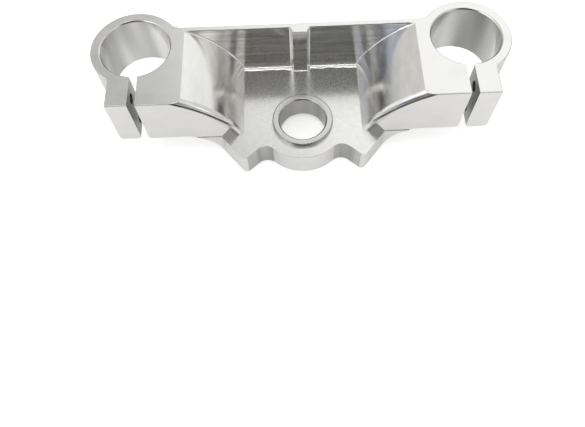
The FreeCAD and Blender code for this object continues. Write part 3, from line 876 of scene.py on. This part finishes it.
def white_floor():
    """White paint for the camera's rays, and for all others paint with a dark card, a painted dark
    reflection.
    """
    material = bpy.data.materials.new("white_floor")
    material.use_nodes = True
    tree = material.node_tree
    tree.nodes.clear()
    rays = add(tree, "ShaderNodeLightPath").outputs
    card = painted_dark_card(tree)
    tone = add(tree, "ShaderNodeMix", data_type="RGBA")
    tone.inputs["A"].default_value = FLOOR_TONE
    tone.inputs["B"].default_value = PAINTED_CARD_TONE
    tree.links.new(card, tone.inputs["Factor"])
    seen_in_metal = add(tree, "ShaderNodeBsdfDiffuse")
    tree.links.new(tone.outputs["Result"], seen_in_metal.inputs["Color"])
    seen_by_camera = add(tree, "ShaderNodeBsdfDiffuse", Color=FLOOR_TONE)
    mirrored = combined(tree, "MAXIMUM", rays["Is Glossy Ray"], rays["Is Transmission Ray"])
    beside_card = combined(tree, "MULTIPLY", mirrored, combined(tree, "SUBTRACT", 1.0, card))
    metal_glow = combined(tree, "MULTIPLY", beside_card, GLOW_TO_METAL)
    camera_glow = combined(tree, "MULTIPLY", rays["Is Camera Ray"], GLOW_TO_CAMERA)
    choice = add(tree, "ShaderNodeMixShader")
    output = add(tree, "ShaderNodeOutputMaterial")
    tree.links.new(rays["Is Camera Ray"], choice.inputs["Fac"])
    tree.links.new(glowing(tree, seen_in_metal, metal_glow), choice.inputs[1])
    tree.links.new(glowing(tree, seen_by_camera, camera_glow), choice.inputs[2])
    tree.links.new(choice.outputs["Shader"], output.inputs["Surface"])
    return material


# %% Lay the floor
FLOOR_HALF = 3.0


def lay_floor():
    """A square sheet just under the part."""
    mesh = bpy.data.meshes.new("floor")
    corners = [(x * FLOOR_HALF, y * FLOOR_HALF, low.z) for x, y in ((-1, -1), (1, -1), (1, 1), (-1, 1))]
    mesh.from_pydata(corners, [], [(0, 1, 2, 3)])
    mesh.materials.append(white_floor())
    sheet = bpy.data.objects.new("floor", mesh)
    bpy.context.scene.collection.objects.link(sheet)


lay_floor()
print("floor at z", round(low.z, 4), "and", 2 * FLOOR_HALF, "m square")

# %% [markdown]
# ## Studio light
#
# Bare metal shows the room rather than itself, so the room is painted as carefully as the part.
# It is a dome of soft tones, each laid over those before it: a wide bright window behind and to
# the right, a brighter one on the left towards the camera, dimmer walls, a small strong lamp
# almost overhead that draws the white lines in the pocket's corners, and a dark zone on the
# camera's side, which the pocket's wall mirrors. Area lamps and cards would do the same but
# stand in the way of other views. A dome of directions never does. The camera itself sees plain
# white.

# %% The tones of the room
def toward(turn, rise):
    """The direction at a turn in degrees from straight behind to the right, and a rise in degrees."""
    turn, rise = math.radians(turn), math.radians(rise)
    return Vector((math.sin(turn) * math.cos(rise), math.cos(turn) * math.cos(rise), math.sin(rise)))


HORIZON = (0.58, 0.58, 0.57)
WHITE = (1.0, 1.0, 1.0, 1.0)
# Each patch: direction, degrees to the edge of its full part, degrees to where it has faded out,
# and colour.
PATCHES = {
    "ceiling": (toward(0, 90), 20, 75, (0.60, 0.60, 0.60)),
    "wall behind": (toward(-30, 50), 22, 40, (0.48, 0.48, 0.475)),
    "window behind": (toward(24, 49), 21, 31, (1.12, 1.12, 1.11)),
    "shade above": (toward(-22, 70), 9, 18, (0.36, 0.36, 0.36)),
    "window's low end": (toward(50, 25), 14, 22, (1.08, 1.08, 1.06)),
    "right wall": (toward(88, 30), 22, 40, (0.74, 0.74, 0.745)),
    "left wall": (toward(-95, 35), 24, 42, (0.98, 0.98, 0.99)),
    "left wall's far end": (toward(-44, 33), 7, 21, (0.72, 0.71, 0.69)),
    "left window": (toward(-122, 50), 15, 27, (1.45, 1.45, 1.43)),
    "right wall's near end": (toward(122, 42), 12, 26, (0.85, 0.85, 0.86)),
    "dark side in front": (toward(180, 30), 14, 36, (0.16, 0.16, 0.16)),
    "its paler foot": (toward(180, 6), 8, 20, (0.36, 0.36, 0.36)),
    "dark low on the left": (toward(-148, 1), 14, 20, (0.10, 0.10, 0.105)),
    "warm dark high on the left": (toward(-168, 50), 10, 22, (0.22, 0.17, 0.163)),
    "dark high on the right": (toward(168, 50), 12, 22, (0.07, 0.075, 0.06)),
    "lamp overhead": (toward(180, 84), 7, 12, (3.4, 3.4, 3.35)),
    "low lamp on the right": (toward(132, 17), 5, 13, (1.40, 1.40, 1.37)),
    "cool light low on the left": (toward(-132, 18), 4, 16, (0.82, 0.86, 1.00)),
    "shade under it": (toward(-130, 3), 5, 11, (0.18, 0.195, 0.23)),
    "ground": (toward(0, -90), 80, 89, (0.9, 0.9, 0.9)),
}


# %% Paint the dome
def patch_mask(tree, direction, middle, full, faded):
    """1 within the full angle of the patch's middle, and 0 past the faded one."""
    facing = add(tree, "ShaderNodeVectorMath", operation="DOT_PRODUCT")
    facing.inputs[1].default_value = middle
    tree.links.new(direction, facing.inputs[0])
    start, end = math.cos(math.radians(faded)), math.cos(math.radians(full))
    return fading(tree, facing.outputs["Value"], start, end)


def dome_colour(tree):
    """The room's colour in each direction: all patches laid over the horizon's tone."""
    direction = add(tree, "ShaderNodeTexCoord").outputs["Generated"]
    tone = add(tree, "ShaderNodeRGB")
    tone.outputs["Color"].default_value = (*HORIZON, 1.0)
    colour = tone.outputs["Color"]
    for middle, full, faded, patch_colour in PATCHES.values():
        mix = add(tree, "ShaderNodeMix", data_type="RGBA")
        mix.inputs["B"].default_value = (*patch_colour, 1.0)
        tree.links.new(patch_mask(tree, direction, middle, full, faded), mix.inputs["Factor"])
        tree.links.new(colour, mix.inputs["A"])
        colour = mix.outputs["Result"]
    return colour


def paint_dome():
    """A world that lights the part with the dome and shows the camera plain white."""
    world = bpy.data.worlds.new("studio")
    bpy.context.scene.world = world
    world.use_nodes = True
    tree = world.node_tree
    tree.nodes.clear()
    light = add(tree, "ShaderNodeBackground", Strength=1.0)
    tree.links.new(dome_colour(tree), light.inputs["Color"])
    white = add(tree, "ShaderNodeBackground", Color=WHITE, Strength=1.0)
    rays = add(tree, "ShaderNodeLightPath").outputs
    choice = add(tree, "ShaderNodeMixShader")
    output = add(tree, "ShaderNodeOutputWorld")
    tree.links.new(rays["Is Camera Ray"], choice.inputs["Fac"])
    tree.links.new(light.outputs["Background"], choice.inputs[1])
    tree.links.new(white.outputs["Background"], choice.inputs[2])
    tree.links.new(choice.outputs["Shader"], output.inputs["Surface"])


paint_dome()
print("dome of", len(PATCHES), "patches")

# %% [markdown]
# ## Camera
#
# The photograph looks steeply down from just in front of the clamp. The camera's place and its
# three turns were found by matching the outline of the part, and the lens by the way the near
# and far edges draw together. The match also puts the lens's axis a little right of the
# picture's middle and below it, by less than a pixel each.

# %% Place the camera
CAMERA_PLACE = Vector((-5.56, -209.06, 328.86)) * MM
CAMERA_TURNS = (24.631, 1.227, -1.674)
LENS, SENSOR_WIDTH = 35.1, 36.0
CLIP_START = 0.01
FRAME_WIDTH = 585
CENTRE_RIGHT, CENTRE_DOWN = 0.71, 0.49


def place_camera():
    """The camera, with the place, the turns and the lens of the match."""
    lens = bpy.data.cameras.new("camera")
    lens.lens = LENS
    lens.sensor_width = SENSOR_WIDTH
    lens.clip_start = CLIP_START
    lens.shift_x = -CENTRE_RIGHT / FRAME_WIDTH
    lens.shift_y = CENTRE_DOWN / FRAME_WIDTH
    camera = bpy.data.objects.new("camera", lens)
    camera.location = CAMERA_PLACE
    camera.rotation_euler = [math.radians(turn) for turn in CAMERA_TURNS]
    bpy.context.scene.collection.objects.link(camera)
    bpy.context.scene.camera = camera


place_camera()
bpy.context.scene.view_settings.view_transform = "Standard"
print("camera", round(CAMERA_PLACE.length, 3), "m from the stem's foot")
